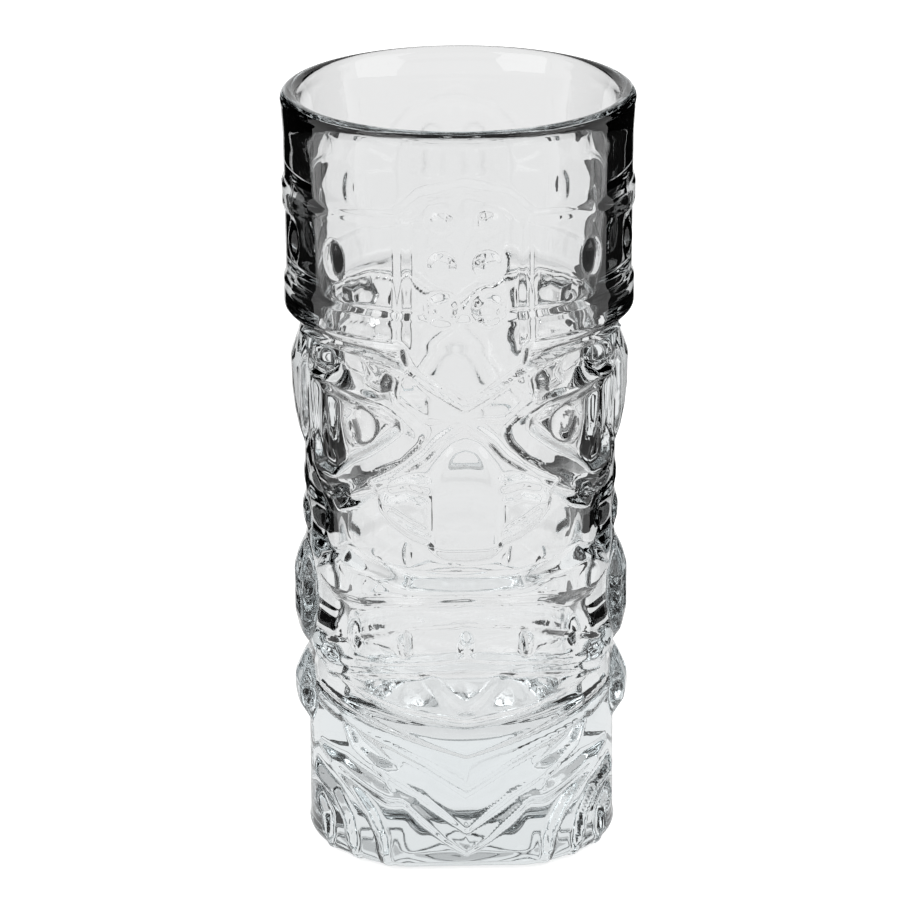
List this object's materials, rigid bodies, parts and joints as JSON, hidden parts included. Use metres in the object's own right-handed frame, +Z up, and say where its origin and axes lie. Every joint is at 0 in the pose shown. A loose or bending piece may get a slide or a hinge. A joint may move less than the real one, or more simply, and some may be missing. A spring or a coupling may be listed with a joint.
{
  "type": "tiki glass tumbler",
  "caption": "Tall pressed-glass tumbler moulded in relief with a stylised carved face under a studded headdress, front and back.",
  "frame": {"origin": "centre of the foot, on the surface the glass stands on", "axes": "+Z up along the glass's axis, -Y out of the front face, +X to the viewer's right of that face"},
  "size_m": [0.0752, 0.0752, 0.164],
  "materials": {
    "clear_glass": "clear pressed soda-lime glass with a faint cool grey tint in the thick base, polished, rim fire-polished"
  },
  "bodies": {
    "root": {"glass_tumbler": "clear_glass"}
  },
  "joints": []
}
